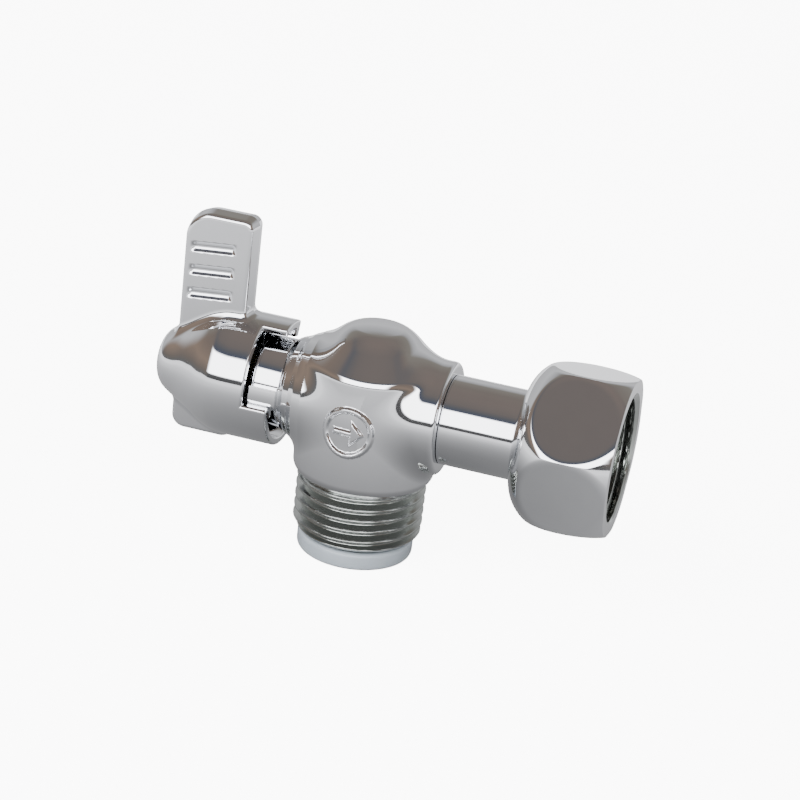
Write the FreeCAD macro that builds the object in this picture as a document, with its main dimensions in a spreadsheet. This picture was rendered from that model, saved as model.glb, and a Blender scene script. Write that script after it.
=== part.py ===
import FreeCAD, Part
import math
import os

from FreeCAD import Placement, Rotation, Vector

# Angle stop valve with a quarter-turn ball, millimetres.
# Each sub-part is drawn about the point where the inlet axis (Z) meets the outlet and stem axis (X),
# then lifted by outlet_height, so that the origin is the centre of the inlet thread's lowest crest.

doc = FreeCAD.newDocument("AngleStopValve")
sheet = doc.addObject("Spreadsheet::Sheet", "Sizes")

DRIVING = {
    "outlet_height": 21.9,        # outlet axis above the lowest crest of the inlet thread
    "thread_chamfer": 0.6,        # from that crest to the thread's end
    "thread_radius": 10.4775,     # G1/2 male, major
    "thread_root_radius": 9.3155, # G1/2, minor
    "thread_pitch": 1.814,
    "thread_ridges": 6,
    "waterway_radius": 4.6,
    "port_radius": 3.0,
    "ball_radius": 6.5,
    "chamber_radius": 6.9,
    "barrel_radius": 11.4,
    "barrel_foot": 12.2,          # below the outlet axis
    "shoulder_rise": 7.0,         # ring edge above the outlet axis
    "shoulder_radius": 10.6,
    "dome_rise": 12.9,
    "boss_radius": 9.1,
    "boss_end": 12.9,
    "collar_end": 13.4,
    "neck_radius": 7.2,
    "neck_end": 19.4,
    "stem_radius": 3.55,
    "stem_bore_radius": 3.6,
    "tube_radius": 7.2,
    "tube_end": 30.4,
    "flange_radius": 8.7,
    "flange_length": 2.0,
    "nut_start": 24.8,
    "nut_end": 41.0,
    "nut_across_flats": 24.6,
    "hub_radius": 10.25,
    "skirt_bore_radius": 8.95,
    "skirt_edge": 18.1,
    "tongue_tip": 14.0,
    "nose_end": 35.6,
    "lever_thickness": 5.0,
    "lever_top": 26.4,
    "lever_left": 32.8,
    "lever_right": 21.0,
    "wing_bottom": 11.2,
    "mark_drop": 1.2,             # centre of the raised mark below the outlet axis
    "handle_travel": 90.0,        # degrees
    "lug_top_radius": 8.6,
    "lug_low_angle": -7.0,        # degrees up from the front
    "lug_high_angle": 12.0,
    "seal_radius": 9.43,
    "seal_thickness": 2.9,
    "running_gap": 0.05,
}

for line, (word, value) in enumerate(DRIVING.items(), 1):
    sheet.set("A%d" % line, word)
    sheet.set("B%d" % line, str(value))
    sheet.setAlias("B%d" % line, word)
doc.recompute()


def size(word):
    """A driving size as the sheet holds it."""
    return float(sheet.get(word))


GAP = size("running_gap")
NUT_TURN = 138.0    # where a flat of the nut faces, degrees from +Y towards +Z
BALL = size("ball_radius")
CHAMBER = size("chamber_radius")
NECK = size("neck_radius")
TUBE = size("tube_radius")
STEM_BORE = size("stem_bore_radius")
THREAD_END = size("outlet_height") + size("thread_chamfer")
PORT = size("port_radius")


class Outline:
    """A closed outline of straight lines and three-point arcs."""

    def __init__(self, x, y):
        self.first = (x, y)
        self.here = (x, y)
        self.edges = []

    def line(self, *corners):
        for corner in corners:
            self.edges.append(Part.LineSegment(Vector(*self.here, 0), Vector(*corner, 0)))
            self.here = corner
        return self

    def arc(self, through, end):
        self.edges.append(Part.Arc(Vector(*self.here, 0), Vector(*through, 0), Vector(*end, 0)))
        self.here = end
        return self

    def close(self):
        return self.line(self.first)


def polygon(*corners):
    return Outline(*corners[0]).line(*corners[1:]).close()


def ring(inner, outer, start, end):
    """Half section of a ring about the sketch's horizontal axis."""
    return polygon((start, inner), (end, inner), (end, outer), (start, outer))


def new_body(name):
    """An empty body that the sheet lifts to the outlet's height."""
    body = doc.addObject("PartDesign::Body", name)
    body.Label = name
    body.setExpression(".Placement.Base.z", "Sizes.outlet_height")
    return body


def sketch(body, role, outline, offset=0.0):
    plane = next(item for item in body.Origin.OriginFeatures if item.Role == role)
    drawn = body.newObject("Sketcher::SketchObject", body.Name + "_sketch")
    drawn.AttachmentSupport = [(plane, "")]
    drawn.MapMode = "FlatFace"
    drawn.AttachmentOffset = Placement(Vector(0, 0, offset), Rotation())
    for edge in outline.edges:
        drawn.addGeometry(edge, False)
    drawn.Visibility = False
    return drawn


def turn(body, outline, axis="X", cut=False):
    """Revolve an outline drawn in the XZ plane about X or Z; a cut takes it away."""
    drawn = sketch(body, "XZ_Plane", outline)
    kind = "PartDesign::Groove" if cut else "PartDesign::Revolution"
    feature = body.newObject(kind, body.Name + ("_groove" if cut else "_turned"))
    feature.Profile = drawn
    feature.ReferenceAxis = (drawn, ["H_Axis" if axis == "X" else "V_Axis"])
    feature.Angle = 360
    doc.recompute()
    return feature


def extrude(body, role, outline, length, offset=0.0, cut=False, both=False, bound=None):
    """Pad or pocket an outline along its plane's normal, from an offset."""
    drawn = sketch(body, role, outline, offset)
    before = body.Shape.Volume if body.Tip else 0.0
    feature = body.newObject("PartDesign::Pocket" if cut else "PartDesign::Pad", body.Name + "_cut" if cut
                             else body.Name + "_pad")
    feature.Profile = drawn
    feature.Length = length
    feature.Midplane = both
    if bound:
        feature.setExpression("Length", "Sizes." + bound)
    doc.recompute()
    if cut and not both:
        feature.Reversed = True
        doc.recompute()
    return feature


def wedge(body, low, high, inner, outer, start, end, cut=False):
    """A sector about X between two angles, measured from the front (-Y) up towards +Z."""
    def at(radius, degrees):
        turned = math.radians(degrees)
        return (-radius * math.cos(turned), radius * math.sin(turned))

    middle = (low + high) / 2
    outline = Outline(*at(inner, low)).line(at(outer, low))
    outline.arc(at(outer, middle), at(outer, high)).line(at(inner, high))
    outline.arc(at(inner, middle), at(inner, low))
    return extrude(body, "YZ_Plane", outline, end - start, offset=start, cut=cut)


def simple_ring(name, inner, outer, start, end, axis="X"):
    body = new_body(name)
    if axis == "X":
        turn(body, ring(inner, outer, start, end))
    else:
        turn(body, polygon((inner, start), (outer, start), (outer, end), (inner, end)), axis="Z")
    return body


def o_ring(name, mean_radius, cord_radius, centre, axis="X"):
    """A round-section ring whose centre lies on the axis."""
    body = new_body(name)
    x, y = (centre, mean_radius) if axis == "X" else (mean_radius, centre)
    outline = Outline(x - cord_radius, y)
    outline.arc((x, y + cord_radius), (x + cord_radius, y))
    outline.arc((x, y - cord_radius), (x - cord_radius, y))
    turn(body, outline, axis=axis)
    return body


# ---------------------------------------------------------------- valve body

def thread_steps(root, crest, lowest, pitch, ridges):
    """Corners of the ridges of a male thread from the top down, as (radius, height) pairs."""
    crest_half = 0.15 * pitch
    root_half = 0.05 * pitch
    corners = []
    for ridge in range(int(ridges) - 1, -1, -1):
        middle = lowest + ridge * pitch
        corners += [(crest, middle + crest_half), (crest, middle - crest_half)]
        if ridge:
            corners += [(root, middle - 0.5 * pitch + root_half), (root, middle - 0.5 * pitch - root_half)]
    return corners


def make_valve_body():
    body = new_body("valve_body")
    barrel = size("barrel_radius")
    foot = -size("barrel_foot")
    shoulder = size("shoulder_radius")
    rise = size("shoulder_rise")
    top = size("dome_rise")
    crest = size("thread_radius")
    root = size("thread_root_radius")
    pitch = size("thread_pitch")
    end = -THREAD_END
    boss = size("boss_radius")
    boss_end = size("boss_end")
    collar = -size("collar_end")
    spigot = 8.0

    outline = Outline(0, top)
    outline.arc((0.27 * shoulder, top - 0.25), (0.5 * shoulder, top - 1.0))
    outline.arc((0.76 * shoulder, rise + 0.26 * shoulder), (shoulder - 0.1, rise + 0.2))
    outline.line((shoulder, rise)).arc((barrel - 0.8, rise - 7), (barrel, foot + 3))
    outline.arc((barrel - 0.4, foot + 1.1), (crest, foot + 0.1)).line((root, foot))
    for corner in thread_steps(root, crest, -size("outlet_height"), pitch, size("thread_ridges")):
        outline.line(corner)
    outline.line((crest - 0.8, end), (spigot, end), (spigot, end - size("seal_thickness") + 0.6))
    outline.line((0, end - size("seal_thickness") + 0.6)).close()
    turn(body, outline, axis="Z")

    boss_side = Outline(0, 0).line((0, boss), (boss_end - 1.0, boss))
    boss_side.arc((boss_end - 0.3, boss - 0.3), (boss_end, boss - 1.0)).line((boss_end, 0)).close()
    turn(body, boss_side)

    neck_end = -size("neck_end")
    stem_side = Outline(0, 0).line((neck_end, 0), (neck_end, NECK), (collar, NECK), (collar, 7.5))
    stem_side.arc((collar + 0.9, 7.9), (collar + 2.4, 8.5))
    stem_side.line((0, 8.5)).close()
    turn(body, stem_side)

    # inside: waterway up from the inlet, ball chamber, tube socket, stem hole
    inlet = polygon((0, -1), (7.2, -1), (7.2, end - 4), (0, end - 4))
    turn(body, inlet, axis="Z", cut=True)
    turn(body, polygon((-6.9, 0), (-6.9, CHAMBER), (6.9, CHAMBER), (6.9, 7.0), (20, 7.0), (20, 0)), cut=True)
    turn(body, polygon((-9.3, 0), (-9.3, 5.5), (0, 5.5), (0, 0)), cut=True)
    bush_seat = neck_end + 2.0
    turn(body, polygon((-30, 0), (-30, 5.0), (bush_seat, 5.0), (bush_seat, STEM_BORE), (0, STEM_BORE), (0, 0)), cut=True)

    # cast lug that stops the handle
    wedge(body, size("lug_low_angle"), size("lug_high_angle"), NECK - 0.6, size("lug_top_radius"), -17.7, -13.9)

    # raised mark on the front of the barrel: a ring with a flow arrow
    drop = -size("mark_drop")
    ring_radius = 3.95
    line_width = 0.5
    mark = Outline(-ring_radius, drop).arc((0, drop + ring_radius), (ring_radius, drop))
    mark.arc((0, drop - ring_radius), (-ring_radius, drop))
    inner = ring_radius - line_width
    hole = Outline(-inner, drop).arc((0, drop + inner), (inner, drop)).arc((0, drop - inner), (-inner, drop))
    arrow = polygon((-2.2, drop - 0.3), (0.5, drop - 0.3), (0.5, drop - 1.3), (2.3, drop), (0.5, drop + 1.3),
                    (0.5, drop + 0.3), (-2.2, drop + 0.3))
    mark.edges += hole.edges + arrow.edges
    inside_wall = 9.0
    extrude(body, "XZ_Plane", mark, barrel + 0.25 - inside_wall, offset=inside_wall)
    return body


# ---------------------------------------------------------------- ball and its seats

def make_ball():
    body = new_body("valve_ball")
    half = Outline(-BALL, 0).arc((0, BALL), (BALL, 0)).close()
    turn(body, half)
    port = PORT
    turn(body, polygon((-1, 0), (-1, port), (9, port), (9, 0)), cut=True)
    turn(body, polygon((0, 0), (port, 0), (port, -9), (0, -9)), axis="Z", cut=True)
    slot = 1.5
    extrude(body, "XZ_Plane", polygon((-9, -slot), (-4.6, -slot), (-4.6, slot), (-9, slot)), 30, cut=True, both=True)
    return body


def cup_height(radius):
    """Height of the ball's surface, with its running gap, at a distance from the seat's axis."""
    return math.sqrt((BALL + GAP) ** 2 - radius ** 2)


SEAT_RIM = 4.7      # small enough for the two seats to pass each other at the corner
SEAT_FLANGE = 6.7


def seat_corners(step, back):
    """Half section of a seat as (distance from the ball's centre, radius) pairs after its cupped face."""
    return [(step, SEAT_RIM), (step, SEAT_FLANGE), (back, SEAT_FLANGE), (back, PORT + 0.1)]


def seat_face():
    """The three points of the cupped face, as (distance, radius) pairs."""
    inner = PORT + 0.1
    middle = (inner + SEAT_RIM) / 2
    return [(cup_height(radius), radius) for radius in (inner, middle, SEAT_RIM)]


def make_outlet_seat():
    body = new_body("outlet_seat")
    start, middle, rim = seat_face()
    turn(body, Outline(*start).arc(middle, rim).line(*seat_corners(5.9, 6.9)).close())
    return body


def make_inlet_seat():
    body = new_body("inlet_seat")
    start, middle, rim = [(radius, -distance) for distance, radius in seat_face()]
    below = [(radius, -distance) for distance, radius in seat_corners(7.1, 8.1)]
    turn(body, Outline(*start).arc(middle, rim).line(*below).close(), axis="Z")
    return body


def make_inlet_seat_retainer():
    body = new_body("inlet_seat_retainer")
    turn(body, polygon((5.2, -8.15), (7.15, -8.15), (7.15, -9.4), (6.2, -9.4), (6.2, -10.8), (7.15, -10.8),
                       (7.15, -14.0), (5.2, -14.0)), axis="Z")
    slot = polygon((-9, -1), (9, -1), (9, 1), (-9, 1))
    extrude(body, "XY_Plane", slot, 1.6, offset=-14.0, cut=True)
    return body


# ---------------------------------------------------------------- outlet tube and union

def make_outlet_tube():
    body = new_body("outlet_tube")
    boss_end = size("boss_end")
    end = size("tube_end")
    flange = end - size("flange_length")
    bore = size("waterway_radius")
    outline = polygon((6.95, bore), (6.95, 6.95), (8.2, 6.95), (8.2, 5.9), (10.0, 5.9), (10.0, 6.95),
                      (boss_end + 0.05, 6.95), (boss_end + 0.05, TUBE), (flange, TUBE),
                      (flange, size("flange_radius")), (end, size("flange_radius")), (end, bore))
    turn(body, outline)
    return body


def nut_profile():
    """Outside of the nut where its corners are turned down, as a half section about X."""
    start = size("nut_start")
    end = size("nut_end")
    outline = Outline(start, 0).line((start, 7.6))
    outline.arc((start + 1.5, 11.2), (start + 5.0, 13.6))
    outline.arc((start + 9.3, 14.3), (start + 14.2, 13.4))
    outline.line((end, 12.6), (end, 0)).close()
    return outline


def make_union_nut():
    body = new_body("union_nut")
    start = size("nut_start")
    end = size("nut_end")
    turn(body, nut_profile())
    half_flat = size("nut_across_flats") / 2
    for side in range(6):
        middle = math.radians(NUT_TURN + 60 * side)
        out = (math.cos(middle), math.sin(middle))
        along = (-out[1], out[0])
        corners = []
        for depth, width in ((half_flat, -14), (half_flat + 6, -14), (half_flat + 6, 14), (half_flat, 14)):
            corners.append((out[0] * depth + along[0] * width, out[1] * depth + along[1] * width))
        extrude(body, "YZ_Plane", polygon(*corners), end - start + 2, offset=start - 1, cut=True)
    minor = size("thread_root_radius")
    shoulder = start + 2.5
    bore = polygon((start - 1, 0), (start - 1, TUBE + 0.09), (shoulder, TUBE + 0.09), (shoulder, 9.9),
                   (32.6, 9.9), (32.9, minor), (end - 1.0, minor), (end - 0.1, minor + 1.0), (end + 1, minor + 1.0),
                   (end + 1, 0))
    turn(body, bore, cut=True)
    return body


# ---------------------------------------------------------------- stem

def make_stem():
    body = new_body("stem")
    stem = size("stem_radius")
    outline = polygon((-25.0, 0), (-25.0, stem), (-14.6, stem), (-14.6, 2.5), (-13.2, 2.5), (-13.2, stem),
                      (-11.8, stem), (-11.8, 2.5), (-10.4, 2.5), (-10.4, stem), (-8.45, stem), (-8.45, 5.2),
                      (-7.0, 5.2), (-7.0, 3.0), (-4.75, 3.0), (-4.75, 0))
    turn(body, outline)
    tang = 1.45
    for side in (1, -1):
        edge = side * tang
        slab = polygon((-6.95, edge), (-3.0, edge), (-3.0, side * 9), (-6.95, side * 9))
        extrude(body, "XZ_Plane", slab, 30, cut=True, both=True)
    square = 2.5
    for side in (1, -1):
        flat = polygon((-30, side * square), (-20.3, side * square), (-20.3, side * 9), (-30, side * 9))
        extrude(body, "XZ_Plane", flat, 30, cut=True, both=True)
        extrude(body, "XY_Plane", flat, 30, cut=True, both=True)
    turn(body, polygon((-30, 0), (-30, 1.5), (-17, 1.5), (-17, 0)), cut=True)
    return body


# ---------------------------------------------------------------- handle

def make_handle():
    body = new_body("handle")
    hub = size("hub_radius")
    skirt = size("skirt_bore_radius")
    edge = -size("skirt_edge")
    tip = -size("tongue_tip")
    nose = -size("nose_end")

    outline = Outline(tip, 0).line((tip, hub), (-24.5, hub))
    outline.arc((-28.9, 8.2), (-32.5, 5.9))
    outline.arc((-34.4, 4.75), (nose, 3.4))
    outline.line((nose, 0)).close()
    turn(body, outline)

    # lever plate with rounded corners, and the small wing below
    top = size("lever_top")
    left, right = -size("lever_left"), -size("lever_right")
    big, small = 4.6, 1.9
    cut = 1 - math.sqrt(0.5)
    plate = Outline(right, 0).line((right, top - small))
    plate.arc((right - small * cut, top - small * cut), (right - small, top))
    plate.line((left + big, top)).arc((left + big * cut, top - big * cut), (left, top - big))
    plate.line((left, 0)).close()
    extrude(body, "XZ_Plane", plate, size("lever_thickness"), both=True, bound="lever_thickness")
    wing_left, wing_bottom, wing_round = left, -size("wing_bottom"), 2.3
    wing = Outline(-24, 0).line((-24, wing_bottom), (wing_left + wing_round, wing_bottom))
    wing.arc((wing_left + wing_round * cut, wing_bottom + wing_round * cut), (wing_left, wing_bottom + wing_round))
    wing.line((wing_left, 0)).close()
    extrude(body, "XZ_Plane", wing, 3.6, both=True)

    # three finger grooves on the front and on the back of the lever
    for step in range(3):
        low = 12.4 + 3.85 * step
        groove = polygon((left + 1.7, low), (right - 2.6, low), (right - 2.6, low + 1.2), (left + 1.7, low + 1.2))
        half = size("lever_thickness") / 2
        extrude(body, "XZ_Plane", groove, 0.6, offset=half - 0.6, cut=True)
        extrude(body, "XZ_Plane", groove, 0.6, offset=-half, cut=True)

    # inside: skirt bore, square hole, screw hole and head recess
    turn(body, polygon((-23.8, 0), (-23.8, skirt), (0, skirt), (0, 0)), cut=True)
    square = 2.5 + GAP
    extrude(body, "YZ_Plane", polygon((-square, -square), (square, -square), (square, square), (-square, square)),
            5.0, offset=-28.0, cut=True)
    turn(body, polygon((-34, 0), (-34, 1.65), (-20, 1.65), (-20, 0)), cut=True)
    turn(body, polygon((-40, 0), (-40, 3.0), (-31.5, 3.0), (-31.5, 0)), cut=True)

    # the skirt's front window and the open back, which leave a top and a bottom tongue
    low = size("lug_low_angle")
    wedge(body, low - 0.3, 73, skirt - 1, hub + 1, edge, tip + 1, cut=True)
    wedge(body, 114, 246, skirt - 1, hub + 1, edge, tip + 1, cut=True)

    # ribs inside the tongues that meet the lug at the two ends of the travel
    open_stop = low - 0.4
    shut_stop = size("lug_high_angle") + size("handle_travel") + 0.4
    wedge(body, open_stop - 14, open_stop, NECK + 0.3, skirt + 0.3, -17.6, tip)
    wedge(body, shut_stop, shut_stop + 10, NECK + 0.3, skirt + 0.3, -17.6, tip)
    return body


def make_handle_screw():
    body = new_body("handle_screw")
    turn(body, polygon((-34.4, 0), (-34.4, 2.75), (-32.2, 2.75), (-32.2, 1.48), (-17.6, 1.48), (-17.6, 0)))
    for wide, tall in ((1.6, 0.45), (0.45, 1.6)):
        slot = polygon((-wide, -tall), (wide, -tall), (wide, tall), (-wide, tall))
        extrude(body, "YZ_Plane", slot, 1.2, offset=-34.4, cut=True)
    return body


make_valve_body()
make_ball()
make_inlet_seat()
make_inlet_seat_retainer()
o_ring("retainer_o_ring", 6.68, 0.46, -10.1, axis="Z")
make_outlet_seat()
make_outlet_tube()
o_ring("outlet_tube_o_ring", 6.44, 0.53, 9.1)
simple_ring("nut_slip_ring", TUBE + 0.07, 9.0, 27.35, 28.35)
make_union_nut()
simple_ring("union_washer", 5.2, 9.0, size("tube_end"), size("tube_end") + 2.0)
make_stem()
simple_ring("stem_thrust_washer", 3.75, 5.4, -9.28, -8.5)
o_ring("stem_o_ring_inner", 3.04, 0.53, -11.1)
o_ring("stem_o_ring_outer", 3.04, 0.53, -13.9)
simple_ring("stem_bush", STEM_BORE + 0.05, 4.98, -19.3, -17.42)
make_handle()
make_handle_screw()
simple_ring("handle_spring_washer", 1.7, 2.7, -32.18, -31.52)

seal = new_body("inlet_seal")
seal_out = size("seal_radius")
seal_end = -THREAD_END - size("seal_thickness")
seal_outline = Outline(8.02, -THREAD_END - 0.02).line((seal_out, -THREAD_END - 0.02), (seal_out, seal_end + 1.0))
seal_outline.arc((seal_out - 0.3, seal_end + 0.3), (seal_out - 1.0, seal_end)).line((8.02, seal_end)).close()
turn(seal, seal_outline, axis="Z")

doc.recompute()

os.makedirs("parts", exist_ok=True)
for item in doc.Objects:
    if "Invalid" in item.State or "Error" in item.State:
        raise RuntimeError("%s is %s" % (item.Label, item.State))
for body in doc.findObjects("PartDesign::Body"):
    shape = body.Shape
    if shape.isNull() or not shape.isValid():
        raise RuntimeError("bad shape: " + body.Label)
    box = shape.BoundBox
    print("%-22s solids %d volume %9.2f  x %6.2f..%6.2f  y %6.2f..%6.2f  z %6.2f..%6.2f" % (
        body.Label, len(shape.Solids), shape.Volume, box.XMin, box.XMax, box.YMin, box.YMax, box.ZMin, box.ZMax))
    shape.exportStep("parts/%s.step" % body.Label)
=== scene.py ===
import math

import bpy
import numpy as np
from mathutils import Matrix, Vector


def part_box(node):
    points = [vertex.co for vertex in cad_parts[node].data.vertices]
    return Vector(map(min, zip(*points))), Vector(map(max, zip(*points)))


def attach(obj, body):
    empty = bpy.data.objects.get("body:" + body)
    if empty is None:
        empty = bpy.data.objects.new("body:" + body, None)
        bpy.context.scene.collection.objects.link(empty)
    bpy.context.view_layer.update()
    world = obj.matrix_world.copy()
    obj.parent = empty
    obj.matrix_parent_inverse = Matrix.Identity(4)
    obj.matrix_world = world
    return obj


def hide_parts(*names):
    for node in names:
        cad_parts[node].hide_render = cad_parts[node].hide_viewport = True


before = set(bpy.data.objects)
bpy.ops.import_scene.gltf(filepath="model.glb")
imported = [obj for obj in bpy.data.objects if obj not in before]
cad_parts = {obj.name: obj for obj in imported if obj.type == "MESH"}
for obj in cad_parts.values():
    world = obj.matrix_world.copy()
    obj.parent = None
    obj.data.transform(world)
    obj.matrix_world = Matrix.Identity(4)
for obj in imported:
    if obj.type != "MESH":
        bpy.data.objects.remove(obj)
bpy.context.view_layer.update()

import openvdb
from mathutils import Matrix, Vector

MM = 0.001

# ------------------------------------------------ sizes, from the CAD frame, in millimetres


def reach(node, axis, side):
    """One face of a node's box, in millimetres: side 0 is low, 1 is high."""
    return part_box(node)[side][axis] / MM


TUBE = (reach("outlet_tube", 1, 1) - reach("outlet_tube", 1, 0)) / 2 - 1.5     # its flange is 1.5 larger
TUBE_FLANGE = 8.7
AXIS_RISE = (reach("outlet_tube", 2, 0) + reach("outlet_tube", 2, 1)) / 2     # outlet axis above the origin
NUT_START = reach("union_nut", 0, 0)
NUT_END = reach("union_nut", 0, 1)
TUBE_END = reach("outlet_tube", 0, 1)
NECK_END = reach("valve_body", 0, 0)
BOSS_END = reach("valve_body", 0, 1)
NOSE_END = reach("handle", 0, 0)
TONGUE_TIP = reach("handle", 0, 1)
LEVER_TOP = reach("handle", 2, 1) - AXIS_RISE
SEAL_END = reach("inlet_seal", 2, 0)
PITCH = 1.814           # of both threads, with crest and root radii
CREST = 10.4775
ROOT = 9.3155
HUB = 10.25             # outer radius of the handle's hub
SKIRT_BORE = 8.95
SKIRT_EDGE = -18.1      # where the hub ends and only its tongues go on
NECK = 7.2              # radius of the neck under the handle's skirt
INLET_BORE = 7.2
WATERWAY = 4.6
MESH_PITCH = 0.17       # distance between points on the cast surfaces


# ------------------------------------------------ mesh helpers (millimetres about the outlet axis)

class Pile:
    """Vertices and faces gathered from several grids, each with its own material number."""

    def __init__(self):
        self.points = []
        self.faces = []
        self.kinds = []
        self.normals = None

    def grid(self, points, kind=0, wrap=True, flip=False):
        """points has the shape (along, around, 3); faces join neighbours, and wrap closes the round way."""
        rows, columns = points.shape[:2]
        base = sum(len(block) for block in self.points)
        self.points.append(points.reshape(-1, 3))
        number = base + np.arange(rows * columns).reshape(rows, columns)
        after = np.roll(number, -1, axis=1) if wrap else number[:, 1:]
        here = number if wrap else number[:, :-1]
        quads = np.stack([here[:-1], after[:-1], after[1:], here[1:]], axis=-1).reshape(-1, 4)
        if flip:
            quads = quads[:, ::-1]
        self.faces.append(quads)
        self.kinds.append(np.full(len(quads), kind))

    def add(self, points, faces, normals, kind=0):
        """Points and quads that are already joined up, with the surface's own normals."""
        base = sum(len(block) for block in self.points)
        self.points.append(points)
        self.normals = (base, normals)
        self.faces.append(faces.astype(int) + base)
        self.kinds.append(np.full(len(faces), kind))

    def build(self, name, materials, sharp=35.0):
        points = np.concatenate(self.points).copy()
        points[:, 2] += AXIS_RISE
        mesh = bpy.data.meshes.new(name)
        mesh.from_pydata((points * MM).tolist(), [], np.concatenate(self.faces).tolist())
        for material in materials:
            mesh.materials.append(material)
        mesh.polygons.foreach_set("material_index", np.concatenate(self.kinds).astype(np.int32))
        mesh.shade_smooth()
        mesh.set_sharp_from_angle(angle=math.radians(sharp))
        if self.normals:
            first, known = self.normals
            every = np.zeros((len(points), 3))
            every[first:first + len(known)] = known
            mesh.normals_split_custom_set_from_vertices(every.tolist())
        made = bpy.data.objects.new(name, mesh)
        bpy.context.scene.collection.objects.link(made)
        return made


def lathe(profile, axis="X", around=192):
    """Grid of points turned from (distance along the axis, radius) pairs."""
    along, radius = np.array(profile, float).T
    angle = np.linspace(0, 2 * math.pi, around, endpoint=False)
    first = radius[:, None] * np.cos(angle)
    second = radius[:, None] * np.sin(angle)
    length = np.repeat(along[:, None], around, axis=1)
    if axis == "X":
        return np.stack([length, first, second], axis=-1)
    return np.stack([second, first, length], axis=-1)


def rounded(corners, radius, steps=5):
    """An open line whose inner corners are each replaced by a short curve."""
    corners = [np.array(corner, float) for corner in corners]
    line = [corners[0]]
    for before, corner, after in zip(corners, corners[1:], corners[2:]):
        back = before - corner
        ahead = after - corner
        reach_back = min(radius, np.linalg.norm(back) * 0.45)
        reach_ahead = min(radius, np.linalg.norm(ahead) * 0.45)
        start = corner + back / np.linalg.norm(back) * reach_back
        end = corner + ahead / np.linalg.norm(ahead) * reach_ahead
        for step in range(steps + 1):
            part = step / steps
            line.append((1 - part) ** 2 * start + 2 * part * (1 - part) * corner + part ** 2 * end)
    line.append(corners[-1])
    return line


def eased_curve(places, values, passes=120):
    """A dense curve through a few places, with its corners smoothed away."""
    dense = np.linspace(places[0], places[-1], 600)
    curve = np.interp(dense, places, values)
    for _ in range(passes):
        curve[1:-1] = (curve[:-2] + 2 * curve[1:-1] + curve[2:]) / 4
    return dense, curve


def soft_low(a, b, width):
    """The lower of two values, blended where they come within width of each other."""
    blend = np.clip(0.5 + 0.5 * (b - a) / width, 0, 1)
    return b + (a - b) * blend - width * blend * (1 - blend)


def ease(value, low, high):
    part = np.clip((value - low) / (high - low), 0, 1)
    return part * part * (3 - 2 * part)


def ridge(phase):
    """Height of a thread, from 0 at its root to 1 at its crest, over one turn."""
    root_share = 0.12
    flank = 1 - np.abs(np.mod(phase, 1.0) - 0.5) * 2
    return np.clip((flank - root_share) / (1 - 2 * root_share), 0, 1)


# ------------------------------------------------ materials

WEAR_SIZE = 300.0


def material(name, color, metallic=0.0, roughness=0.4, grain=0.0, grain_size=4000.0, wear=0.0, tint=None,
             subsurface=0.0):
    """A principled material with noise in its colour, roughness and surface.

    The colour drifts towards tint, or towards a slightly darker shade of itself where no tint is given.
    """
    made = bpy.data.materials.new(name)
    made.use_nodes = True
    nodes = made.node_tree.nodes
    links = made.node_tree.links
    shader = nodes["Principled BSDF"]
    shader.inputs["Base Color"].default_value = (*color, 1)
    shader.inputs["Metallic"].default_value = metallic
    shader.inputs["Roughness"].default_value = roughness
    shader.inputs["Subsurface Weight"].default_value = subsurface
    if subsurface:
        shader.inputs["Subsurface Radius"].default_value = (0.004, 0.004, 0.004)
        shader.inputs["Subsurface Scale"].default_value = 0.3
    place = nodes.new("ShaderNodeTexCoord")
    cloud = nodes.new("ShaderNodeTexNoise")
    cloud.inputs["Scale"].default_value = WEAR_SIZE
    cloud.inputs["Detail"].default_value = 6
    links.new(place.outputs["Object"], cloud.inputs["Vector"])

    rough = nodes.new("ShaderNodeMapRange")
    rough.inputs["To Min"].default_value = max(roughness - wear, 0.0)
    rough.inputs["To Max"].default_value = roughness + wear
    rough.inputs["From Min"].default_value = 0.3
    rough.inputs["From Max"].default_value = 0.7
    links.new(cloud.outputs["Fac"], rough.inputs["Value"])
    links.new(rough.outputs["Result"], shader.inputs["Roughness"])

    drift = tint or [part * 0.9 for part in color]
    mix = nodes.new("ShaderNodeMix")
    mix.data_type = "RGBA"
    mix.inputs["A"].default_value = (*color, 1)
    mix.inputs["B"].default_value = (*drift, 1)
    links.new(cloud.outputs["Fac"], mix.inputs["Factor"])
    links.new(mix.outputs["Result"], shader.inputs["Base Color"])
    if grain:
        fine = nodes.new("ShaderNodeTexNoise")
        fine.inputs["Scale"].default_value = grain_size
        fine.inputs["Detail"].default_value = 3
        links.new(place.outputs["Object"], fine.inputs["Vector"])
        bump = nodes.new("ShaderNodeBump")
        bump.inputs["Strength"].default_value = grain
        bump.inputs["Distance"].default_value = 0.0001
        links.new(fine.outputs["Fac"], bump.inputs["Height"])
        links.new(bump.outputs["Normal"], shader.inputs["Normal"])
    return made


CHROME = material("polished_chrome", (0.86, 0.87, 0.89), 1.0, 0.045, grain=0.02, grain_size=700, wear=0.02,
                  tint=(0.80, 0.81, 0.83))
MACHINED = material("machined_thread", (0.50, 0.52, 0.50), 1.0, 0.17, grain=0.12, grain_size=5000, wear=0.06,
                    tint=(0.36, 0.38, 0.36))
BRASS = material("turned_brass", (0.78, 0.58, 0.27), 1.0, 0.28, grain=0.2, wear=0.08)
STEEL = material("plain_steel", (0.55, 0.56, 0.58), 1.0, 0.30, grain=0.2, wear=0.08)
PTFE = material("white_ptfe", (0.86, 0.86, 0.83), 0.0, 0.45, grain=0.1, wear=0.08, subsurface=0.1)
RUBBER = material("black_rubber", (0.025, 0.025, 0.027), 0.0, 0.62, grain=0.25, wear=0.1)
SEAL = material("milky_seal", (0.42, 0.47, 0.51), 0.0, 0.38, grain=0.15, grain_size=1500, wear=0.08,
                tint=(0.34, 0.38, 0.42), subsurface=0.25)

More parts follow.
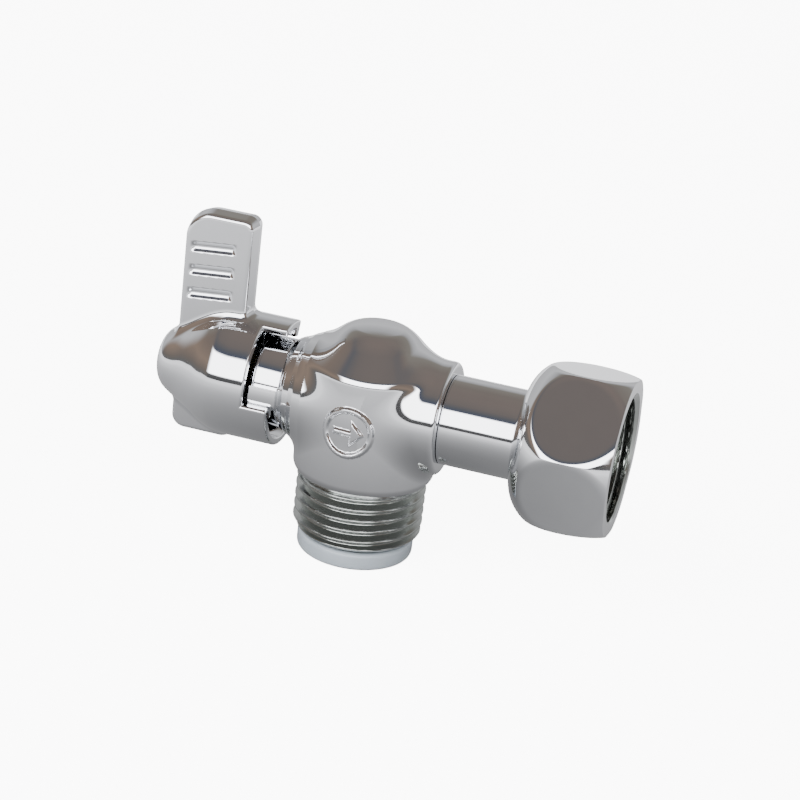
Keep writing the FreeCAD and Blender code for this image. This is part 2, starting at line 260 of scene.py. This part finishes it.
NODE_FINISH = {
    "valve_ball": CHROME, "inlet_seat": PTFE, "inlet_seat_retainer": BRASS, "retainer_o_ring": RUBBER,
    "outlet_seat": PTFE, "outlet_tube_o_ring": RUBBER, "nut_slip_ring": PTFE, "union_washer": RUBBER,
    "stem": BRASS, "stem_thrust_washer": PTFE, "stem_o_ring_inner": RUBBER, "stem_o_ring_outer": RUBBER,
    "stem_bush": PTFE, "handle_screw": STEEL, "handle_spring_washer": STEEL,
}
for node, finish in NODE_FINISH.items():
    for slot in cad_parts[node].material_slots:
        slot.material = finish


# ------------------------------------------------ valve body

FOOT = -12.2            # lowest point of the casting, where the thread starts
BARREL = 11.4           # radius near the foot
SHOULDER = 10.6         # radius and height where the dome starts
SHOULDER_RISE = 7.0
DOME_SLOPE = 1.05
DOME_TOP = reach("valve_body", 2, 1) - AXIS_RISE
BOSS = 9.1
TUBE_SOCKET = 7.0
COLLAR_END = -13.4
COLLAR_X = [0, 9.0, 10.5, 11.3, 12.4, 13.4]
COLLAR_R = [9.9, 9.3, 8.8, 8.35, 7.95, 7.4]
LUG_ANGLES = (-7.0, 12.0)
LUG_TOP = 8.6
MARK_DROP = 1.2         # centre of the raised mark below the outlet axis
MARK_RING = 3.7
MARK_RISE = 0.42


def dome_rise(out):
    """Height of the dome at a distance from the upright axis: a flat cap that turns into a steep skirt."""
    cap = DOME_TOP + 0.1 - out ** 2 / 50
    skirt = SHOULDER_RISE + (SHOULDER - out) * DOME_SLOPE
    return soft_low(cap, skirt, 1.4)


def barrel_radius(height):
    """Radius of the upright part of the casting at each height."""
    part = np.clip((height - FOOT) / (SHOULDER_RISE - FOOT), 0, 1)
    flare = BARREL - (BARREL - SHOULDER) * part ** 1.6
    foot_height, foot_depth = 1.9, 1.2
    foot = np.clip(1 - (height - FOOT) / foot_height, 0, 1)
    return flare - foot_depth * foot ** 2.5


def inside(x, y, z):
    """Below zero inside the casting, with the round joints between its barrel, boss and collar."""
    out = np.hypot(x, y)
    wall = out - barrel_radius(z)
    roof = (z - dome_rise(out)) * 0.75
    upright = -soft_low(-wall, -roof, 0.5)
    upright = np.maximum(upright, FOOT - z)
    side = np.hypot(y, z)
    boss = np.maximum(-soft_low(BOSS - side, BOSS_END - x, 0.9), -x)
    collar = np.maximum(-soft_low(np.interp(-x, COLLAR_X, COLLAR_R) - side, x - COLLAR_END, 0.4), x)
    shape = soft_low(soft_low(upright, boss, 1.9), collar, 2.0)
    socket = np.maximum(side - TUBE_SOCKET, 10.0 - x)
    shape = -soft_low(-shape, socket, 0.15)
    inlet = np.maximum(out - INLET_BORE, z + 7.0)
    shape = np.maximum(shape, -inlet)
    return lug(mark(shape, x, y, z), x, y, z)


def lug(shape, x, y, z):
    """Adds the cast lug on the neck that the handle's tongues turn against."""
    up = np.degrees(np.arctan2(z, -y))
    side = np.hypot(y, z)
    low, high = LUG_ANGLES
    edges = np.maximum(np.maximum((low - up), (up - high)) * side * math.pi / 180, side - LUG_TOP)
    ends = np.maximum(-17.7 - x, x + 13.2)
    made = np.maximum(np.maximum(edges, ends), 5.5 - side)
    return soft_low(shape, made, 0.5)


def mark(shape, x, y, z):
    """Raises a ring with a flow arrow on the front of the barrel."""
    across = x + 0.2
    up = z + MARK_DROP
    ring = np.abs(np.hypot(across, up) - MARK_RING) - 0.25
    shaft = np.maximum(np.abs(up) - 0.3, np.abs(across + 0.5) - 1.7)
    head = np.maximum(np.abs(up) * 0.7 + (across - 1.0) * 0.7 - 0.9, 0.6 - across)
    line = np.minimum(np.minimum(ring, shaft), head)
    return shape - MARK_RISE * (1 - ease(line, -0.12, 0.30)) * (y < 0)


def surface(field, low, high, pitch):
    """Smooth quads, in millimetres, of the surface where a field of x, y, z crosses zero inside a box."""
    sides = [np.arange(a, b + pitch, pitch) for a, b in zip(low, high)]
    x, y, z = np.meshgrid(*sides, indexing="ij", sparse=True)
    values = np.clip(field(x, y, z), -3 * pitch, 3 * pitch).astype(np.float32)
    grid = openvdb.FloatGrid(background=3 * pitch)
    grid.copyFromArray(np.ascontiguousarray(values))
    points, quads = grid.convertToQuads()
    points = points * pitch + np.array(low)
    for _ in range(3):
        value, slope = gradient(field, points)
        move = np.clip(value / np.maximum((slope ** 2).sum(1), 0.2), -pitch, pitch)
        points = points - slope * move[:, None]
    slope = gradient(field, points)[1]
    return points, quads, slope / np.maximum(np.linalg.norm(slope, axis=1), 1e-6)[:, None]


def gradient(field, points, step=0.02):
    """A field's value and slope at each point."""
    value = field(*points.T)
    slope = []
    for axis in range(3):
        ahead, behind = points.copy(), points.copy()
        ahead[:, axis] += step
        behind[:, axis] -= step
        slope.append((field(*ahead.T) - field(*behind.T)) / (2 * step))
    return value, np.stack(slope, axis=1)


def male_thread():
    """The helical inlet thread, from under the casting to the chamfered end."""
    end = -AXIS_RISE
    end_radius, chamfer = 9.5, 1.1
    heights = np.linspace(FOOT + 0.1, end, 150)
    angle = np.linspace(0, 2 * math.pi, 240, endpoint=False)
    height, turned = np.meshgrid(heights, angle, indexing="ij")
    rise = ridge(height / PITCH + turned / (2 * math.pi))
    radius = ROOT + (CREST - ROOT) * rise
    radius = np.minimum(radius, end_radius + (height - end) * chamfer)
    return np.stack([radius * np.sin(turned), radius * np.cos(turned), height], axis=-1)


def make_valve_body():
    """The casting, the turned neck, the inlet thread and the inlet's mouth."""
    pile = Pile()
    pile.add(*surface(inside, (-19.0, -13.0, -12.6), (13.4, 13.0, 13.6), MESH_PITCH))
    neck_end = NECK_END + 0.01
    bush_seat, stem_hole = 5.0, 3.6
    neck = rounded([(-12.9, 6.0), (-12.9, NECK), (neck_end, NECK), (neck_end, bush_seat),
                    (NECK_END + 2, bush_seat), (NECK_END + 2, stem_hole), (-9, stem_hole)], 0.3)
    pile.grid(lathe(neck), flip=True)
    pile.grid(male_thread(), kind=1)
    end = -AXIS_RISE
    spigot_end = SEAL_END - AXIS_RISE + 0.6
    mouth = rounded([(end, 9.5), (end, 8.0), (spigot_end, 8.0), (spigot_end, INLET_BORE),
                     (-7.0, INLET_BORE), (-7.0, 4.2)], 0.2)
    pile.grid(lathe(mouth, axis="Z"), kind=1)
    body = pile.build("valve_body_casting", [CHROME, MACHINED])
    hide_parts("valve_body")
    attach(body, "housing")


# ------------------------------------------------ outlet tube, seal and nut

def make_tube():
    """The outlet tube, from inside the boss to its flange inside the nut."""
    pile = Pile()
    start, spigot, flange = 7.0, 6.95, TUBE_END - 2
    profile = rounded([(start, WATERWAY), (start, spigot), (BOSS_END, spigot), (BOSS_END + 0.08, TUBE),
                       (flange, TUBE), (flange, TUBE_FLANGE), (TUBE_END, TUBE_FLANGE), (TUBE_END, WATERWAY),
                       (start, WATERWAY)], 0.12)
    pile.grid(lathe(profile), flip=True)
    tube = pile.build("outlet_tube_chromed", [CHROME])
    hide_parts("outlet_tube")
    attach(tube, "housing")


def make_seal():
    """The soft ring under the inlet thread."""
    pile = Pile()
    low = SEAL_END - AXIS_RISE
    high = reach("inlet_seal", 2, 1) - AXIS_RISE
    bore, outer = 8.02, 9.43
    profile = rounded([(low + 0.9, bore), (low, 8.1), (low, outer), (high, outer), (high, bore),
                       (low + 0.9, bore)], 0.8)
    pile.grid(lathe(profile, axis="Z"))
    seal = pile.build("inlet_seal_ring", [SEAL])
    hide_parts("inlet_seal")
    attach(seal, "housing")


NUT_FLAT = 12.3         # half of the distance across the flats
NUT_TURN = 138.0        # where a flat faces, degrees from +Y towards +Z
NUT_MOUTH = 10.35
NUT_RELIEF = 9.9
NUT_THREAD_END = 32.8


NUT_WIDEST = 14.3
NUT_BACK = 7.3
NUT_BORE = 7.29


def nut_back(back, length):
    """Radius of the turned-down back of the nut, a quarter of an ellipse that closes on the tube."""
    part = np.clip(back / length, 0, 1)
    return NUT_BACK + (NUT_WIDEST - NUT_BACK) * np.sqrt(1 - part ** 2)


def nut_front(ahead):
    """Radius of the front of the nut, a shallow cone that starts softly."""
    return NUT_WIDEST - 0.033 * ahead ** 2


def make_nut():
    """The swivel nut: six flats cut into a turned outline, its rim, its inner thread and its back."""
    pile = Pile()
    middle = (NUT_START + NUT_END) / 2 + 0.9
    part = np.sin(np.linspace(-math.pi / 2, math.pi / 2, 200))
    along = middle + np.where(part < 0, middle - NUT_START, NUT_END - middle) * part
    back_outline = nut_back(middle - along, middle - NUT_START)
    outline = np.where(along < middle, back_outline, nut_front(along - middle))
    angle = np.linspace(0, 2 * math.pi, 540, endpoint=False)
    sector = np.mod(angle - math.radians(NUT_TURN) + math.pi / 6, math.pi / 3) - math.pi / 6
    flat = NUT_FLAT / np.cos(sector)
    radius = soft_low(outline[:, None], flat[None, :], 0.45)
    x = np.repeat(along[:, None], len(angle), axis=1)
    pile.grid(np.stack([x, radius * np.cos(angle), radius * np.sin(angle)], axis=-1), flip=True)
    rim = radius[-1]
    rings = []
    for out, back in ((0.0, 0.0), (0.25, -0.06), (0.6, -0.02), (1.2, 0.0)):
        edge = rim - out
        level = np.full_like(angle, NUT_END + back)
        rings.append(np.stack([level, edge * np.cos(angle), edge * np.sin(angle)], -1))
    mouth = np.full_like(angle, NUT_MOUTH)
    rings.append(np.stack([np.full_like(angle, NUT_END), mouth * np.cos(angle), mouth * np.sin(angle)], -1))
    pile.grid(np.stack(rings), flip=True)
    depth = np.linspace(NUT_END, NUT_THREAD_END, 130)
    inner = ridge(depth[:, None] / PITCH + angle[None, :] / (2 * math.pi))
    thread_root, thread_height, chamfer = 10.45, 1.1, 1.2
    bore = thread_root - thread_height * inner
    bore = np.maximum(bore, NUT_MOUTH - (NUT_END - depth[:, None]) * chamfer)
    deep = np.repeat(depth[:, None], len(angle), axis=1)
    pile.grid(np.stack([deep, bore * np.cos(angle), bore * np.sin(angle)], axis=-1), kind=1, flip=True)
    wall = NUT_START + 2.5
    back = rounded([(NUT_THREAD_END, NUT_RELIEF), (wall, NUT_RELIEF), (wall, NUT_BORE), (NUT_START, NUT_BORE),
                    (NUT_START, 7.4)], 0.1)
    pile.grid(lathe(back), kind=1, flip=True)
    nut = pile.build("union_nut_hex", [CHROME, MACHINED])
    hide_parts("union_nut")
    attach(nut, "nut")


# ------------------------------------------------ handle

NOSE_X = [-35.9, NOSE_END, -35.1, -33.9, -32.5, -31.0, -28.9, -26.8, -24.5, -22.5, 0]
NOSE_R = [1.5, 3.3, 4.15, 5.2, 5.95, 6.75, 8.1, 9.3, 10.1, HUB, HUB]


NOSE_CURVE = eased_curve(NOSE_X, NOSE_R, 200)
LEVER_LEFT = -32.8
LEVER_RIGHT = -21.0
LEVER_HALF = 2.5        # half of the lever's thickness
FIRST_GROOVE = 13.0
GROOVE_STEP = 3.85
GROOVE_SLOPE = 0.10
GROOVE_DEPTH = 0.55
WING_HALF = 1.9


def rounded_box(across, up, low, high, corners):
    """Below zero inside a rectangle whose left and right corners have their own radii."""
    middle = [(a + b) / 2 for a, b in zip(low, high)]
    half = [(b - a) / 2 for a, b in zip(low, high)]
    left, right = corners
    radius = np.where(across < middle[0], left, right)
    right_way = np.abs(across - middle[0]) - half[0] + radius
    up_way = np.abs(up - middle[1]) - half[1] + radius
    outside = np.hypot(np.maximum(right_way, 0), np.maximum(up_way, 0))
    return outside + np.minimum(np.maximum(right_way, up_way), 0) - radius


def lever_field(x, y, z):
    """The grooved lever above the hub: draft on its sides, a soft rim, three grooves on each face."""
    outline = rounded_box(x, z, (LEVER_LEFT, -30.0), (LEVER_RIGHT, LEVER_TOP), (4.6, 1.9))
    thick = np.abs(y)
    plate = -soft_low(-(outline + 0.18 * thick), LEVER_HALF - thick, 0.7)
    dip = 0.0
    for step in range(3):
        off = z - FIRST_GROOVE - GROOVE_STEP * step - GROOVE_SLOPE * (x + 27)
        hollow = np.clip(1 - (off / 0.95) ** 2, 0, 1) ** 1.5
        dip = dip + hollow * (1 - ease(np.abs(x + 27.6), 3.0, 4.0))
    return np.maximum(plate, thick - LEVER_HALF + GROOVE_DEPTH * dip)


def wing_field(x, y, z):
    """The short wing under the hub."""
    outline = rounded_box(x, z, (LEVER_LEFT, -11.2), (-22.0, 5.0), (2.3, 2.3))
    return -soft_low(-(outline + 0.1 * np.abs(y)), WING_HALF - np.abs(y), 0.6)


def handle_field(x, y, z):
    """Below zero inside the handle: hub, lever and wing, less the skirt's windows and the inner spaces."""
    side = np.hypot(y, z)
    hub = (side - np.interp(x, *NOSE_CURVE)) * 0.9
    hub = -soft_low(-hub, x - NOSE_END, 0.6)
    shape = soft_low(hub, np.maximum(lever_field(x, y, z), -z), 1.3)
    shape = soft_low(shape, np.maximum(wing_field(x, y, z), z), 1.0)
    shape = -soft_low(-shape, TONGUE_TIP - x, 0.4)
    up = np.degrees(np.arctan2(z, -y))
    around = math.pi / 180 * side
    window = np.maximum(np.maximum(-7.3 - up, up - 73) * around, SKIRT_EDGE - x)
    rear = np.maximum((np.abs(np.abs(up) - 180) - 66) * around, SKIRT_EDGE - x)
    shape = -soft_low(-shape, np.minimum(window, rear), 0.5)
    cavity = np.maximum(side - SKIRT_BORE, -23.8 - x)
    ribs = (((up > -21.4) & (up < -7.4)) | ((up > 102.4) & (up < 112.4))) & (x > -17.6)
    cavity = np.where(ribs, side - NECK - 0.3, cavity)
    screw = np.minimum(np.maximum(side - 3.0, x + 31.5), side - 1.65)
    square = np.maximum(np.maximum(np.abs(y), np.abs(z)) - 2.55, -28.0 - x)
    return -soft_low(-shape, np.minimum(cavity, np.minimum(screw, square)), 0.35)


def make_handle():
    """The chromed handle, as one cast surface."""
    pile = Pile()
    pile.add(*surface(handle_field, (-36.4, -10.9, -12.0), (-13.4, 10.9, LEVER_TOP + 0.6), MESH_PITCH))
    handle = pile.build("handle_chromed", [CHROME], sharp=180)
    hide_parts("handle")
    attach(handle, "lever")


# ------------------------------------------------ stage: camera, floor, light

CAMERA_TURN = math.radians(14.2)
CAMERA_RISE = math.radians(22.8)
CAMERA_ROLL = math.radians(7.1)
CAMERA_DISTANCE = 348.0
AIM_RIGHT = 4.58
AIM_UP = 0.24


def make_camera():
    """A long lens above and in front, turned a little to the right and rolled."""
    back = Vector((math.sin(CAMERA_TURN) * math.cos(CAMERA_RISE),
                   -math.cos(CAMERA_TURN) * math.cos(CAMERA_RISE), math.sin(CAMERA_RISE)))
    level = Vector((math.cos(CAMERA_TURN), math.sin(CAMERA_TURN), 0))
    rise = back.cross(level)
    right = level * math.cos(CAMERA_ROLL) + rise * math.sin(CAMERA_ROLL)
    up = rise * math.cos(CAMERA_ROLL) - level * math.sin(CAMERA_ROLL)
    place = back * CAMERA_DISTANCE + right * AIM_RIGHT + up * AIM_UP + Vector((0, 0, AXIS_RISE))
    data = bpy.data.cameras.new("camera")
    data.lens = 99.0
    data.sensor_width = 36.0
    data.clip_start = 0.01
    data.clip_end = 20
    camera = bpy.data.objects.new("camera", data)
    bpy.context.scene.collection.objects.link(camera)
    turn = Matrix((right, up, back)).transposed().to_4x4()
    camera.matrix_world = Matrix.Translation(place * MM) @ turn
    bpy.context.scene.camera = camera


BRIGHT = 6.5    # light of the bright wall; a ramp's stops are stored as shares of it


def ramp(nodes, stops):
    """A colour ramp whose stops are (place, light) pairs."""
    made = nodes.new("ShaderNodeValToRGB")
    made.color_ramp.interpolation = "LINEAR"
    items = made.color_ramp.elements
    while len(items) > 1:
        items.remove(items[0])
    for index, (place, color) in enumerate(stops):
        item = items[0] if index == 0 else items.new(place)
        item.position = place
        item.color = (*(part / BRIGHT for part in color), 1)
    return made


def grey(value):
    """A very slightly cool grey light."""
    return (value, value, value * 1.02)


DULL_ROOF = (0.23, 0.19, 0.17)
FRONT_LIGHT = [(0.0, grey(0.10)), (0.11, grey(0.12)), (0.15, grey(BRIGHT)), (0.655, grey(BRIGHT)),
               (0.70, (0.085, 0.10, 0.15)), (0.79, (0.14, 0.14, 0.15)), (0.86, (0.19, 0.165, 0.155)),
               (1.0, DULL_ROOF)]
FLANK_LIGHT = [(0.0, grey(0.16)), (0.12, (0.20, 0.17, 0.15)), (0.35, (0.32, 0.24, 0.19)),
               (0.60, (0.24, 0.19, 0.16)), (0.80, (0.20, 0.17, 0.155)), (1.0, DULL_ROOF)]
REAR_LIGHT = [(0.0, grey(0.62)), (0.35, grey(0.74)), (0.52, grey(0.5)), (0.62, (0.27, 0.25, 0.22)),
              (0.85, (0.22, 0.19, 0.17)), (1.0, DULL_ROOF)]


def change_over(tree, value, low, high, first, second):
    """A colour that goes softly from first to second as a value goes from low to high."""
    part = tree.nodes.new("ShaderNodeMapRange")
    part.interpolation_type = "SMOOTHSTEP"
    part.inputs["From Min"].default_value = low
    part.inputs["From Max"].default_value = high
    tree.links.new(value, part.inputs["Value"])
    mix = tree.nodes.new("ShaderNodeMix")
    mix.data_type = "RGBA"
    tree.links.new(part.outputs["Result"], mix.inputs["Factor"])
    tree.links.new(first, mix.inputs["A"])
    tree.links.new(second, mix.inputs["B"])
    return mix.outputs["Result"]


def shown_apart(tree, seen, mirrored, output):
    """Shows one shader to the camera and another to every other ray."""
    path = tree.nodes.new("ShaderNodeLightPath")
    choose = tree.nodes.new("ShaderNodeMixShader")
    tree.links.new(path.outputs["Is Camera Ray"], choose.inputs["Fac"])
    tree.links.new(mirrored, choose.inputs[1])
    tree.links.new(seen, choose.inputs[2])
    tree.links.new(choose.outputs["Shader"], output.inputs["Surface"])


def make_world():
    """White to the camera; in the metal, a bright wall in front, dark above it, and a dull room around."""
    world = bpy.data.worlds.new("studio")
    bpy.context.scene.world = world
    world.use_nodes = True
    nodes = world.node_tree.nodes
    links = world.node_tree.links
    place = nodes.new("ShaderNodeTexCoord")
    split = nodes.new("ShaderNodeSeparateXYZ")
    links.new(place.outputs["Generated"], split.inputs["Vector"])
    bands = []
    for stops in (FRONT_LIGHT, FLANK_LIGHT, REAR_LIGHT):
        band = ramp(nodes, stops)
        links.new(split.outputs["Z"], band.inputs["Fac"])
        bands.append(band.outputs["Color"])
    front, flank, rear = bands
    sideways = nodes.new("ShaderNodeMath")
    sideways.operation = "ABSOLUTE"
    links.new(split.outputs["X"], sideways.inputs[0])
    wall = change_over(world.node_tree, sideways.outputs["Value"], 0.52, 0.68, front, flank)
    room = nodes["Background"]
    room.inputs["Strength"].default_value = BRIGHT
    links.new(change_over(world.node_tree, split.outputs["Y"], 0.0, 0.35, wall, rear), room.inputs["Color"])
    paper = nodes.new("ShaderNodeBackground")
    paper.inputs["Color"].default_value = (1, 1, 1, 1)
    paper.inputs["Strength"].default_value = 8.0
    shown_apart(world.node_tree, paper.outputs["Background"], room.outputs["Background"],
                nodes["World Output"])


def make_floor():
    """A pale floor; to every ray but the camera's it glows with a painted shadow, darkest close to the valve,
    which the metal mirrors.
    """
    mesh = bpy.data.meshes.new("floor")
    half = 3.0
    level = SEAL_END * MM - 0.0001
    corners = [(-half, -half, level), (half, -half, level), (half, half, level), (-half, half, level)]
    mesh.from_pydata(corners, [], [(0, 1, 2, 3)])
    floor = bpy.data.objects.new("floor", mesh)
    bpy.context.scene.collection.objects.link(floor)
    made = bpy.data.materials.new("pale_floor")
    made.use_nodes = True
    nodes = made.node_tree.nodes
    links = made.node_tree.links
    pale = nodes["Principled BSDF"]
    pale.inputs["Base Color"].default_value = (0.9, 0.9, 0.9, 1)
    pale.inputs["Roughness"].default_value = 0.9
    pale.inputs["Specular IOR Level"].default_value = 0.0
    pale.inputs["Emission Color"].default_value = (1, 1, 1, 1)
    pale.inputs["Emission Strength"].default_value = 9.0
    place = nodes.new("ShaderNodeTexCoord")
    length = nodes.new("ShaderNodeVectorMath")
    length.operation = "LENGTH"
    links.new(place.outputs["Object"], length.inputs[0])
    far = nodes.new("ShaderNodeMapRange")
    far.inputs["From Min"].default_value = 0.0
    far.inputs["From Max"].default_value = 0.30
    links.new(length.outputs["Value"], far.inputs["Value"])
    # painted shadow: the floor's glow is dark close to the valve and lighter further out, and the metal
    # mirrors it
    shade = ramp(nodes, [(0.0, grey(0.17)), (0.08, grey(0.27)), (0.20, grey(0.52)), (0.45, grey(1.0)),
                         (1.0, grey(1.5))])
    links.new(far.outputs["Result"], shade.inputs["Fac"])
    painted_shadow_glow = nodes.new("ShaderNodeEmission")
    painted_shadow_glow.inputs["Strength"].default_value = BRIGHT
    links.new(shade.outputs["Color"], painted_shadow_glow.inputs["Color"])
    shown_apart(made.node_tree, pale.outputs["BSDF"], painted_shadow_glow.outputs["Emission"], nodes["Material Output"])
    mesh.materials.append(made)


def make_light(name, place, aim, width, power):
    """A soft square light that the metal doesn't mirror."""
    data = bpy.data.lights.new(name, "AREA")
    data.size = width
    data.energy = power
    light = bpy.data.objects.new(name, data)
    light.location = place
    light.rotation_euler = (Vector(aim) - Vector(place)).to_track_quat("-Z", "Y").to_euler()
    light.visible_glossy = False
    bpy.context.scene.collection.objects.link(light)


make_valve_body()
make_tube()
make_seal()
make_nut()
make_handle()
make_camera()
make_world()
make_floor()
make_light("key", (-0.25, -0.35, 0.45), (0, 0, 0.02), 0.35, 2.2)
make_light("fill", (0.35, -0.25, 0.30), (0, 0, 0.02), 0.40, 0.8)
